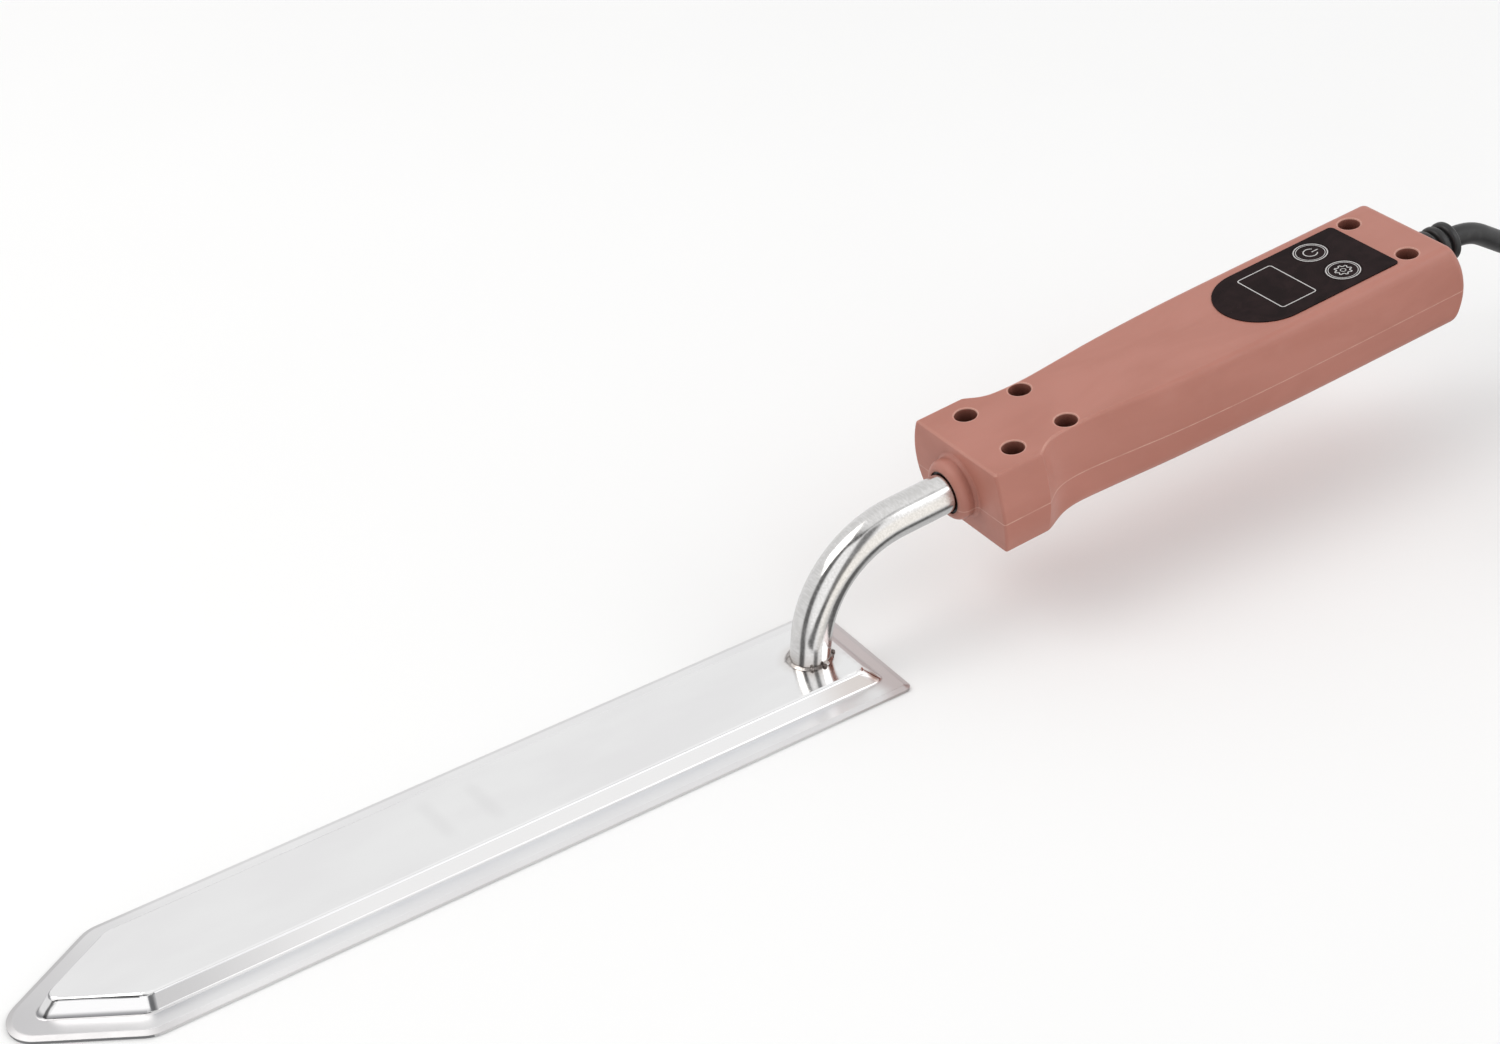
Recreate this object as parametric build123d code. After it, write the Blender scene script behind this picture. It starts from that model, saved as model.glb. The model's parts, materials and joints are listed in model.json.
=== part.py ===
from build123d import *
import os
from math import cos, hypot, pi, radians, sin, tan

# Electric uncapping knife: a hollow heated blade on a bent steel tube, with a two-shell
# handle that holds the temperature control, and a mains cord laid in a coil.
# Millimetres. +X runs from the blade's point to the handle, +Z up, Z = 0 is the underside of
# the blade, and the origin is where the axis of the tube's lower leg meets that plane.

# ---- blade -------------------------------------------------------------------------------
BLADE_WIDTH = 50.4
HEEL_X = 19.8                  # square rear edge
SHOULDER_X = -216.2            # where the sides turn in to the point
POINT_ANGLE = 33.0             # each edge of the point against the blade's axis, degrees
POINT_RADIUS = 9.6
SHEET = 0.7                    # thickness of either skin
RAISED = 4.6                   # height of the raised panel over the flange
FOOT_INSET = 7.0               # flange width, outer edge to the foot of the panel's wall
RIM_INSET = 9.9                # outer edge to the top rim of the panel
HEEL_FOOT_INSET = 4.1
HEEL_RIM_INSET = 9.6
PANEL_ROUNDS = (3.8, 8.0, 3.4)  # panel's upright edges: point, shoulders, heel
RIM_ROUND = 1.3
FOOT_ROUND = 0.9
EDGE_BEVEL = 1.7               # width of the ground cutting bevel
EDGE_LAND = 0.1                # height of the top skin left at its very edge
HEEL_RADIUS = 2.3
SHOULDER_RADIUS = 9.0

FLANGE_TOP = 2 * SHEET
PANEL_TOP = FLANGE_TOP + RAISED

# ---- heater, laid on the bottom skin -------------------------------------------------------
HEATER_TIP, HEATER_HEEL = -204.0, -16.0
HEATER_HALF = 13.5
MICA = 0.4
CORE_BOARD = 0.5
RIBBON = 0.15
RIBBON_WIDTH = 1.5
RIBBON_PITCH = 6.0
TERMINAL_X, TERMINAL_Y = -20.0, 6.0
TERMINAL_RADIUS = 1.5
PAD_HEEL = -26.0
LEAD_Z = 3.4                   # height at which the leads lie in the blade
SENSOR_Z = 3.7
SENSOR_RADIUS = 1.5
LEAD_OFFSET = 0.8              # heater leads, above the tube's axis
LEAD_SPREAD = 2.9
SENSOR_OFFSET = -2.2
SENSOR_SPREAD = 0.8
SENSOR_LEAD_RADIUS = 0.7
CORE_Z = SHEET + MICA
RIBBON_Z = CORE_Z + CORE_BOARD
COVER_Z = RIBBON_Z + RIBBON
PAD_Z = COVER_Z + MICA

# ---- bent tube ---------------------------------------------------------------------------
TUBE_RADIUS = 6.09
TUBE_WALL = 1.0
LOWER_ANGLE = 81.0             # lower leg against the blade
BEND_RADIUS = 34.5             # on the tube's axis
TUBE_START = 4.6               # from the origin along the lower leg, inside the blade
TUBE_END_X = 30.0              # in the handle's own frame
TUBE_HOLE = 6.8                # radius of the handle's opening, filled by a heat sleeve
SLEEVE_FRONT, SLEEVE_REAR = -17.4, -7.0

# ---- handle, in its own frame: x' along the handle, z' = 0 is its flat top ----------------
HANDLE_ORIGIN = (68.2, 0, 56.9)
PITCH = 4.0                    # nose-down tilt of the handle against the blade, degrees
HANDLE_HEIGHT = 28.5
HANDLE_FRONT = -12.8           # furthest point of the slightly crowned front face
HANDLE_REAR = 167.0            # furthest point of the crowned rear face
FRONT_CROWN = (120.0, -9.0)    # radius from top to bottom, and height of the furthest point
REAR_CROWN = (27.4, -15.5)
REAR_ROUND = 2.6
FRONT_ROUND = 0.8
BEYOND = 60.0                  # outside the handle's section on every side
PARTING = -16.4                # height of the joint between the shells
TUBE_AXIS = -13.3              # height of the tube's and the cord's axis
WALL = 2.2
TUBE_RIBS = (7.0, 27.0)        # x' of the upper shell's ribs over the tube
BULGE_DEPTH = 15.0             # depth at which the convex sides are widest
BLOCK_END = 4.0
MIN_ROUND = 0.8                # smallest corner radius of the inside
COLLAR_RADIUS = 9.5
COLLAR_FRONT = -18.0

# x', half-width at top, middle and bottom, corner radius at top and bottom
GRIP_STATIONS = [
    (4.0, 20.0, 22.4, 19.2, 1.3, 1.2),
    (8.0, 17.3, 19.2, 17.6, 0.9, 1.5),
    (12.0, 15.9, 17.5, 16.0, 0.9, 2.0),
    (16.5, 15.5, 16.7, 15.1, 0.9, 2.8),
    (24.0, 15.5, 16.8, 15.3, 1.0, 3.2),
    (36.0, 16.7, 18.0, 16.5, 1.4, 4.0),
    (52.0, 18.4, 19.7, 17.6, 1.9, 4.3),
    (76.0, 19.8, 21.0, 18.6, 2.5, 4.5),
    (104.0, 20.3, 21.6, 19.6, 3.0, 4.5),
    (170.0, 20.4, 21.9, 20.5, 3.6, 4.5),
]
GRIP_SECTIONS = 32             # equal steps of the loft along the grip

# ---- screws ------------------------------------------------------------------------------
FRONT_SCREWS = [(0.0, 11.8), (19.6, 11.4), (0.0, -11.8), (19.6, -11.4)]
REAR_SCREWS = [(150.5, 13.1), (150.5, -13.1)]
WELL_RADIUS = 3.5              # screw-head well, open at the handle's top
WELL_RIM = 0.25                # chamfer at its mouth
WELL_BOTTOM = -12.5
POST_RADIUS = 4.6
SCREW_HOLE = 1.6
PILOT = 1.25
SCREW_CORE = 1.2
SCREW_TIP = -23.4
SADDLE_SHEET = 1.2

# ---- control board and panel ---------------------------------------------------------------
BOARD_TOP = -9.3
BOARD_THICK = 1.6
BOARD_FRONT, BOARD_REAR = 62.0, 144.0
BOARD_HALF = 14.5
BOARD_SCREWS = [(66.0, 11.5), (66.0, -11.5), (140.0, 11.5), (140.0, -11.5)]
PANEL_Y = 0.7                  # centre line of the keys and display
KEY_X = 130.2
KEY_PITCH = 15.0
KEY_RADIUS = 5.9
KEY_HOLE = 6.0
KEY_WELL = 6.2
LABEL_THICK = 0.3
LABEL_HALF = 15.6
LABEL_NOSE_X = 104.0           # centre of the label's round front end
LABEL_REAR = 145.2
DISPLAY_X = 110.0
DISPLAY_SIZE = (14.2, 22.4)
PLUNGER_RADIUS = 1.75
SWITCH_SIZE = (6.0, 6.0, 3.5)
HEATER_BLOCK = (70.0, 78.0)    # x' span of the terminal block for the heater and sensor
MAINS_BLOCK = (132.0, 141.0)
TERMINAL_BLOCKS = [(HEATER_BLOCK, 4, 5.0, 9.0), (MAINS_BLOCK, 2, 8.0, 10.0)]  # span, poles, pitch, height
BULK_DEPTH = 11.0              # of the tall components under the board

# ---- cord and plug -----------------------------------------------------------------------
CORD_RADIUS = 3.5
CORD_HOLE = 4.7                # radius of the handle's opening
CORE_RADIUS = 1.0
CORD_INNER_END = 147.0         # in the handle's frame
CLAMP_X = 153.0
CLAMP_SCREW_Y = 6.0
CLAMP_POST_TOP = -12.4
CLAMP_HEIGHT = 4.6
RELIEF_END = 180.4
RELIEF_RADIUS = 6.6
RELIEF_START = 160.3
RELIEF_FLANGE = (2.4, 7.0)     # thickness and radius, inside the rear wall
RELIEF_RIBS = 3
RIB_PITCH = 4.1
COIL_X = 355.0                 # the coil's middle
CORD_ARRIVAL_Y = -2.0          # where the cord meets the floor, on the coil's far side
COIL_START_RADIUS = 44.5
COIL_PITCH = 8.0
COIL_HALF_TURNS = 7
PLUG_RADIUS = 18.5
PLUG_Y = -114.0
PLUG_TAIL_X = 292.0            # where the cord enters the plug's boot
PLUG_FACE_X = 236.0            # face that carries the pins
PIN_RADIUS = 2.4
PIN_LENGTH = 19.0
PIN_TIP_ROUND = 1.6
PIN_ROOT = 9.0                 # length moulded into the plug
ROOT_RADIUS = 1.8
PIN_SPACING = 19.0
EARTH_GROOVE = 1.2             # depth of the two side grooves
BOOT_RADIUS = 6.2              # ribs of the plug's tail
DEPART_RUN = 17.0              # straight run between the coil and the rise to the plug
CROSSING = (26.5, 11.5)        # before the coil's middle the cord is this high, over the coil

HANDLE = Pos(*HANDLE_ORIGIN) * Rot(0, -PITCH, 0)
BOARD_BOTTOM = BOARD_TOP - BOARD_THICK
FLOOR = -HANDLE_HEIGHT + WALL   # inside of the lower shell's bottom


def from_handle(x, y, z):
    """Point of the handle's frame, in the knife's frame."""
    ox, oy, oz = HANDLE_ORIGIN
    c, s = cos(radians(PITCH)), sin(radians(PITCH))
    return (ox + x * c - z * s, oy + y, oz + x * s + z * c)


def block(x0, x1, y0, y1, z0, z1):
    """Rectangular block between two corners."""
    size = (x1 - x0, y1 - y0, z1 - z0)
    return Pos((x0 + x1) / 2, (y0 + y1) / 2, (z0 + z1) / 2) * Box(*size)


def rod(x, y, z0, z1, radius):
    """Upright cylinder."""
    return Pos(x, y, (z0 + z1) / 2) * Cylinder(radius, abs(z1 - z0))


def rod_x(x0, x1, y, z, radius):
    """Cylinder along x."""
    return Pos((x0 + x1) / 2, y, z) * Rot(0, 90, 0) * Cylinder(radius, x1 - x0)


def bent_path(points, radii):
    """Straight runs through the points, with an arc of the given radius at each inner point."""
    corners = [Vector(*p) for p in points]
    edges = []
    start = corners[0]
    for before, corner, after, radius in zip(corners, corners[1:], corners[2:], radii):
        back = (before - corner).normalized()
        ahead = (after - corner).normalized()
        half_turn = (pi - back.get_angle(ahead) * pi / 180) / 2
        reach = radius * tan(half_turn)
        arc_start, arc_end = corner + back * reach, corner + ahead * reach
        bisector = (back + ahead).normalized()
        middle = corner + bisector * (radius / cos(half_turn) - radius)
        edges.append(Line(start, arc_start))
        edges.append(ThreePointArc(arc_start, middle, arc_end))
        start = arc_end
    edges.append(Line(start, corners[-1]))
    return Wire(edges)


def pipe(path, radius):
    """Solid round bar along a path."""
    return sweep(Plane(path @ 0, z_dir=path % 0) * Circle(radius), path=path)


def solids(*shapes):
    """Separate solids kept in one node."""
    parts = [s for shape in shapes for s in shape.solids()]
    return Compound(children=parts)


def save(name, shape):
    export_step(shape, f"parts/{name}.step")


# ---- blade -------------------------------------------------------------------------------
def outline(inset, heel_inset):
    """Corners of the blade's plan, drawn in from its edge."""
    half = BLADE_WIDTH / 2 - inset
    heel = HEEL_X - heel_inset
    shoulder = SHOULDER_X + inset * tan(radians(POINT_ANGLE / 2))
    tip = shoulder - half / tan(radians(POINT_ANGLE))
    return [(heel, -half), (heel, half), (shoulder, half), (tip, 0), (shoulder, -half)]


def plan_face(inset, heel_inset, heel_radius, shoulder_radius, tip_radius):
    """The plan as a face with rounded corners."""
    face = make_face(Polyline(*outline(inset, heel_inset), close=True))
    by_x = face.vertices().group_by(Axis.X)
    face = fillet(by_x[0], tip_radius)
    face = fillet(face.vertices().filter_by(lambda v: abs(v.X - by_x[1][0].X) < 0.01), shoulder_radius)
    return fillet(face.vertices().filter_by(lambda v: abs(v.X - by_x[-1][0].X) < 0.01), heel_radius)


def panel(grow, top):
    """Raised panel with sloping walls, from the top of the bottom skin to the given height."""
    foot = make_face(Polyline(*outline(FOOT_INSET - grow, HEEL_FOOT_INSET - grow), close=True))
    rim = make_face(Polyline(*outline(RIM_INSET - grow, HEEL_RIM_INSET - grow), close=True))
    body = loft([Pos(0, 0, SHEET) * foot, Pos(0, 0, top) * rim], ruled=True)
    upright = body.edges().filter_by(lambda e: abs(e.tangent_at(0.5).Z) > 0.3)
    tip_edge = upright.sort_by(Axis.X)[0]
    shoulders = upright.sort_by(Axis.X)[1:3]
    rears = upright.sort_by(Axis.X)[3:5]
    point_round, shoulder_round, heel_round = PANEL_ROUNDS
    body = fillet(rears, heel_round + grow)
    body = fillet([e for e in body.edges() if e.center() in [s.center() for s in shoulders]], shoulder_round)
    tips = [e for e in body.edges() if (e.center() - tip_edge.center()).length < 0.01]
    return fillet(tips, point_round + grow)


def tube_axis_line(offset):
    """Corner point of the tube's two legs, for a line held off the tube's axis."""
    a, b = radians(LOWER_ANGLE), radians(PITCH)
    upper = from_handle(0, 0, TUBE_AXIS)
    # lower leg starts at the origin; solve t * lower = upper_point - u * upper_direction
    t = (upper[2] * cos(b) - upper[0] * sin(b)) / (sin(a) * cos(b) - cos(a) * sin(b))
    corner = Vector(t * cos(a), 0, t * sin(a))
    na, nb = Vector(-sin(a), 0, cos(a)), Vector(-sin(b), 0, cos(b))
    return corner + (na + nb) * (offset / (1 + na.dot(nb)))


def lower_leg_point(offset, height):
    """Point at a height on a line held off the axis of the tube's lower leg."""
    a = radians(LOWER_ANGLE)
    t = (height - offset * cos(a)) / sin(a)
    return (-offset * sin(a) + t * cos(a), 0, height)


def tube_path(start, end_x):
    a = radians(LOWER_ANGLE)
    points = [(start * cos(a), 0, start * sin(a)), tube_axis_line(0), from_handle(end_x, 0, TUBE_AXIS)]
    return bent_path(points, [BEND_RADIUS])


def blade_plan(inset=0.0):
    """The blade's plan, drawn in by the same amount all round."""
    radii = [r - inset for r in (HEEL_RADIUS, SHOULDER_RADIUS, POINT_RADIUS)]
    return plan_face(inset, inset, *radii)


def make_bottom_skin():
    return extrude(blade_plan(), SHEET)


def make_top_skin():
    land = Pos(0, 0, SHEET) * extrude(blade_plan(), EDGE_LAND)
    edge = Pos(0, 0, SHEET + EDGE_LAND) * blade_plan()
    bevel = loft([edge, Pos(0, 0, FLANGE_TOP) * blade_plan(EDGE_BEVEL)], ruled=True)
    flange = land + bevel
    outer = panel(0, PANEL_TOP)
    outer = fillet(outer.edges().group_by(Axis.Z)[-1], RIM_ROUND)
    skin = flange + outer
    foot = [e for e in skin.edges() if abs(e.center().Z - FLANGE_TOP) < 0.01
            and abs(e.bounding_box().size.Z) < 0.01
            and inside_plan(e.center(), FOOT_INSET - 1.0)]
    skin = fillet(foot, FOOT_ROUND)
    skin -= panel(-SHEET * 1.1, PANEL_TOP - SHEET)
    bore = pipe(tube_path(1.0, 0), TUBE_RADIUS + 0.05)
    return skin - bore


def inside_plan(point, inset):
    """Whether a point lies well inside the blade's plan."""
    half = BLADE_WIDTH / 2 - inset
    reach = (point.X - outline(inset, inset)[3][0]) * tan(radians(POINT_ANGLE))
    return abs(point.Y) < min(half, reach) and point.X < HEEL_X - 1.5


def make_gooseneck_tube():
    path = tube_path(TUBE_START, TUBE_END_X)
    return pipe(path, TUBE_RADIUS) - pipe(path, TUBE_RADIUS - TUBE_WALL)


def make_tube_weld():
    """Thin seal bead where the tube leaves the panel, with three tack beads on its near side."""
    x, _, _ = lower_leg_point(0, PANEL_TOP)
    ring = Pos(x, 0, PANEL_TOP + 0.25) * Cone(TUBE_RADIUS + 0.95, TUBE_RADIUS + 0.25, 0.5)
    for angle in (-118, -84, -20):
        r = TUBE_RADIUS + 0.75
        ring += Pos(x + r * cos(radians(angle)), r * sin(radians(angle)), PANEL_TOP + 0.25) * Sphere(0.7)
    ring &= block(x - 9, x + 9, -9, 9, PANEL_TOP, PANEL_TOP + 2)
    return ring - pipe(tube_path(1.0, 0), TUBE_RADIUS)


# ---- heater inside the blade ---------------------------------------------------------------
def strip(points, width, z0, z1):
    """Flat strip along a path whose runs are parallel to x or y."""
    half = width / 2
    runs = []
    for (xa, ya), (xb, yb) in zip(points, points[1:]):
        runs.append(block(min(xa, xb) - half, max(xa, xb) + half,
                          min(ya, yb) - half, max(ya, yb) + half, z0, z1))
    return runs[0].fuse(*runs[1:]).clean()


def make_heating_ribbon():
    """Flat ribbon that zigzags out along one half of the board and back along the other."""
    inner, outer = 1.6, HEATER_HALF - 1.2
    turns = int((TERMINAL_X - HEATER_TIP - 6) / (2 * RIBBON_PITCH))
    out = [(TERMINAL_X, inner), (TERMINAL_X, outer)]
    for i in range(turns):
        x = TERMINAL_X - (2 * i + 1) * RIBBON_PITCH
        out += [(x, outer), (x, inner), (x - RIBBON_PITCH, inner), (x - RIBBON_PITCH, outer)]
    end = out[-1][0] - RIBBON_PITCH
    out.append((end, outer))
    back = [(x, -y) for x, y in reversed(out)]
    return strip(out + back, RIBBON_WIDTH, RIBBON_Z, COVER_Z)


def make_mica_sheet(z):
    return block(HEATER_TIP, HEATER_HEEL, -HEATER_HALF, HEATER_HALF, z, z + MICA)


def make_mica_upper():
    """Cover sheet, with a hole for each terminal."""
    sheet = make_mica_sheet(COVER_Z)
    for side in (-1, 1):
        sheet -= rod(TERMINAL_X, side * TERMINAL_Y, COVER_Z - 1, COVER_Z + 1, TERMINAL_RADIUS + 0.1)
    return sheet


def make_mica_core():
    return block(HEATER_TIP, HEATER_HEEL, -HEATER_HALF, HEATER_HALF, CORE_Z, RIBBON_Z)


def make_pressure_pad():
    half = BLADE_WIDTH / 2 - RIM_INSET - 0.8
    pad = block(HEATER_TIP, PAD_HEEL, -half, half, PAD_Z, PANEL_TOP - SHEET - 0.1)
    return fillet(pad.edges().filter_by(Axis.Z), 3.0)


def make_heater_terminals():
    """Two eyelets that join the ribbon's ends to the leads."""
    pins = []
    for side in (-1, 1):
        y = side * TERMINAL_Y
        pins.append(rod(TERMINAL_X, y, COVER_Z, PAD_Z + 2.4, TERMINAL_RADIUS))
    return solids(*pins)


def lead(start, spread, offset, lie_z, radius, finish):
    """Insulated wire from inside the blade, up through the tube, to the handle's terminal block."""
    foot = lower_leg_point(offset, lie_z)
    bend = tube_axis_line(offset)
    out = from_handle(TUBE_END_X + 6, spread, TUBE_AXIS + offset)
    points = [start, (start[0] + 7, start[1], lie_z), (foot[0] - 3.2, spread, lie_z),
              (foot[0], spread, lie_z), (bend.X, spread, bend.Z), out,
              from_handle(*finish[0]), from_handle(*finish[1])]
    return pipe(bent_path(points, [2.0, 1.5, 2.0, BEND_RADIUS + offset, 6, 6]), radius)


def make_heater_leads():
    wires = []
    for side in (-1, 1):
        start = (TERMINAL_X + TERMINAL_RADIUS + 0.05, side * TERMINAL_Y, LEAD_Z)
        finish = [(55, side * 7.5, -15), (HEATER_BLOCK[0] - 0.05, side * 7.5, -15)]
        wires.append(lead(start, side * LEAD_SPREAD, LEAD_OFFSET, LEAD_Z, CORE_RADIUS, finish))
    return solids(*wires)


def make_sensor_leads():
    wires = []
    for side in (-1, 1):
        spread = side * SENSOR_SPREAD
        finish = [(55, side * 2.5, -16), (HEATER_BLOCK[0] - 0.05, side * 2.5, -16)]
        foot = lower_leg_point(SENSOR_OFFSET, SENSOR_Z)
        bend = tube_axis_line(SENSOR_OFFSET)
        points = [(-11.95, spread, SENSOR_Z), (foot[0], spread, SENSOR_Z),
                  (bend.X, spread, bend.Z), from_handle(TUBE_END_X + 6, spread, TUBE_AXIS + SENSOR_OFFSET),
                  from_handle(*finish[0]), from_handle(*finish[1])]
        path = bent_path(points, [2.0, BEND_RADIUS + SENSOR_OFFSET, 6, 6])
        wires.append(pipe(path, SENSOR_LEAD_RADIUS))
    return solids(*wires)


def make_temperature_sensor():
    body = rod_x(-24, -12, 0, SENSOR_Z, SENSOR_RADIUS)
    return fillet(body.edges().group_by(Axis.X)[0], 1.0)


# ---- handle shells, in the handle's frame ----------------------------------------------------
def side_curve(top, middle, bottom, depth):
    """Half-width of the convex side at a depth below the handle's top, and its slope."""
    places, widths = (0.0, BULGE_DEPTH, HANDLE_HEIGHT), (top, middle, bottom)
    value = slope = 0.0
    for i, (place, width) in enumerate(zip(places, widths)):
        p, q = (other for j, other in enumerate(places) if j != i)
        scale = width / ((place - p) * (place - q))
        value += scale * (depth - p) * (depth - q)
        slope += scale * (2 * depth - p - q)
    return value, slope


def section(x, top, middle, bottom, r_top, r_bottom, inset=0.0):
    """Cross-section of the handle: flat top and bottom, convex sides, rounded corners."""
    widths = (top - inset, middle - inset, bottom - inset)
    z_top, z_bottom = -inset, -HANDLE_HEIGHT + inset
    r_top, r_bottom = max(r_top - inset, MIN_ROUND), max(r_bottom - inset, MIN_ROUND)
    upper_z, lower_z = z_top - r_top, z_bottom + r_bottom
    upper_y, upper_slope = side_curve(*widths, -upper_z)
    lower_y, lower_slope = side_curve(*widths, -lower_z)
    flat_top, flat_bottom = upper_y - r_top, lower_y - r_bottom
    reach = 0.55
    # where the tangents at the two ends of the side meet
    rise = lower_y - upper_y - upper_slope * upper_z + lower_slope * lower_z
    meet = rise / (upper_slope - lower_slope)
    side = [(upper_y, upper_z), (upper_y + upper_slope * (meet + upper_z), -meet), (lower_y, lower_z)]
    corner = [(flat_top, z_top), (flat_top + reach * r_top, z_top),
              (upper_y - upper_slope * reach * r_top, upper_z + reach * r_top), side[0]]
    foot = [side[2], (lower_y + lower_slope * reach * r_bottom, lower_z - reach * r_bottom),
            (flat_bottom + reach * r_bottom, z_bottom), (flat_bottom, z_bottom)]
    curves = [Line((-half, z), (half, z)) for half, z in ((flat_top, z_top), (flat_bottom, z_bottom))]
    for sign in (1, -1):
        curves += [Bezier(*[(sign * y, z) for y, z in points]) for points in (corner, side, foot)]
    return Plane(origin=(x, 0, 0), x_dir=(0, 1, 0), z_dir=(1, 0, 0)) * make_face(curves)


def grip_station(x):
    """Station at any x', on a smooth curve through the listed ones."""
    rows = GRIP_STATIONS
    i = max(j for j in range(len(rows) - 1) if rows[j][0] <= x)
    span = rows[i + 1][0] - rows[i][0]
    u = (x - rows[i][0]) / span

    def slope(j, k):
        before, after = rows[max(j - 1, 0)], rows[min(j + 1, len(rows) - 1)]
        return (after[k] - before[k]) / (after[0] - before[0])

    values = []
    for k in range(1, 6):
        a, b = rows[i][k], rows[i + 1][k]
        da, db = slope(i, k) * span, slope(i + 1, k) * span
        values.append(a + u * da + u ** 2 * (3 * (b - a) - 2 * da - db) + u ** 3 * (2 * (a - b) + da + db))
    return (x, *values)


def crown_cylinder(x, z, radius):
    """Cylinder across the handle, whose side shapes a crowned end face."""
    return Pos(x, 0, z) * Rot(90, 0, 0) * Cylinder(radius, 2 * BEYOND)


def handle_body(inset=0.0):
    """Solid bounded by the handle's outside, or by the same shape drawn in by a wall."""
    first, last = GRIP_STATIONS[0], GRIP_STATIONS[-1]
    step = (last[0] - first[0]) / GRIP_SECTIONS
    stations = [grip_station(first[0] + i * step) for i in range(GRIP_SECTIONS)] + [last]
    grip = loft([section(*station, inset=inset) for station in stations])
    radius, height = REAR_CROWN
    middle = HANDLE_REAR - radius
    crown = crown_cylinder(middle, height, radius - inset)
    front_part = grip & block(0, middle, -BEYOND, BEYOND, -BEYOND, BEYOND)
    rear_part = grip & crown & block(middle, middle + BEYOND, -BEYOND, BEYOND, -BEYOND, BEYOND)
    grip = front_part + rear_part
    if inset == 0:
        grip = fillet(grip.faces().sort_by(Axis.X)[-1].edges(), REAR_ROUND)
    front = HANDLE_FRONT + inset
    radius, height = FRONT_CROWN
    guard = extrude(section(front, *GRIP_STATIONS[0][1:], inset=inset), BLOCK_END - front)
    guard &= crown_cylinder(HANDLE_FRONT + radius, height, radius - inset)
    if inset == 0:
        guard = fillet(guard.faces().sort_by(Axis.X)[0].edges(), FRONT_ROUND)
    return guard + grip


def screw_posts(z0, z1, radius):
    return [rod(x, y, z0, z1, radius) for x, y in FRONT_SCREWS + REAR_SCREWS]


def shell_blank(outer):
    """Handle body with its collar, hollowed, with the tube and cord openings."""
    collar = rod_x(COLLAR_FRONT, HANDLE_FRONT + 2, 0, TUBE_AXIS, COLLAR_RADIUS)
    collar = fillet(collar.edges().group_by(Axis.X)[0], 2.4)
    body = outer + collar
    seat = [e for e in body.edges() if HANDLE_FRONT - 2 < e.center().X < HANDLE_FRONT + 1.5
            and abs(hypot(e.position_at(0).Y, e.position_at(0).Z - TUBE_AXIS) - COLLAR_RADIUS) < 0.05]
    body = fillet(seat, 1.2)
    body -= handle_body(WALL)
    body -= rod_x(COLLAR_FRONT - 1, HANDLE_FRONT + 6, 0, TUBE_AXIS, TUBE_HOLE)
    return body - rod_x(HANDLE_REAR - 8, HANDLE_REAR + 1, 0, TUBE_AXIS, CORD_HOLE)


def make_upper_shell(outer):
    shell = shell_blank(outer) & block(-BEYOND, 4 * BEYOND, -BEYOND, BEYOND, PARTING, 0)
    extras = screw_posts(PARTING, -0.5, POST_RADIUS)
    extras += [rod(x, y, BOARD_TOP, -0.5, 2.4) for x, y in BOARD_SCREWS]
    seat = TUBE_RADIUS + 0.03
    for x in TUBE_RIBS:
        rib = block(x - 1, x + 1, -16, 16, PARTING, -0.5) - rod_x(x - 2, x + 2, 0, TUBE_AXIS, seat)
        extras.append(rib - block(x - 2, x + 2, -seat, seat, PARTING - 1, TUBE_AXIS))
    for extra in extras:
        shell += extra & outer
    for well in screw_posts(WELL_BOTTOM, 1, WELL_RADIUS) + screw_posts(PARTING - 1, 1, SCREW_HOLE):
        shell -= well
    for x, y in FRONT_SCREWS + REAR_SCREWS:
        shell -= Pos(x, y, 0) * Cone(WELL_RADIUS, WELL_RADIUS + 2 * WELL_RIM, 2 * WELL_RIM)
    for x, y in BOARD_SCREWS:
        shell -= rod(x, y, BOARD_TOP - 1, -3, 1.0)
    for side in (-1, 1):
        shell -= rod(KEY_X, PANEL_Y + side * KEY_PITCH / 2, -WALL - 1, 1, KEY_WELL)
    dx, dy = (size / 2 + 0.1 for size in DISPLAY_SIZE)
    shell -= block(DISPLAY_X - dx, DISPLAY_X + dx, PANEL_Y - dy, PANEL_Y + dy, -WALL - 1, 1)
    return shell


def make_lower_shell(outer):
    shell = shell_blank(outer) & block(-BEYOND, 4 * BEYOND, -BEYOND, BEYOND, -BEYOND, PARTING)
    extras = [rod(x, y, FLOOR - 0.5, PARTING - SADDLE_SHEET, 4.0) for x, y in FRONT_SCREWS]
    extras += [rod(x, y, FLOOR - 0.5, PARTING, POST_RADIUS) for x, y in REAR_SCREWS]
    extras += [rod(CLAMP_X, side * CLAMP_SCREW_Y, FLOOR - 0.5, CLAMP_POST_TOP, 2.1) for side in (-1, 1)]
    extras.append(block(CLAMP_X - 2.5, CLAMP_X + 2.5, -3.2, 3.2, FLOOR - 0.5, TUBE_AXIS - 1)
                  - rod_x(CLAMP_X - 4, CLAMP_X + 4, 0, TUBE_AXIS, CORD_RADIUS + 0.02))
    for extra in extras:
        shell += extra & outer
    for x, y in FRONT_SCREWS + REAR_SCREWS:
        shell -= rod(x, y, SCREW_TIP - 0.4, PARTING + 1, PILOT)
    for side in (-1, 1):
        shell -= rod(CLAMP_X, side * CLAMP_SCREW_Y, CLAMP_POST_TOP - 7.2, CLAMP_POST_TOP + 1, 0.95)
    return shell


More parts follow.
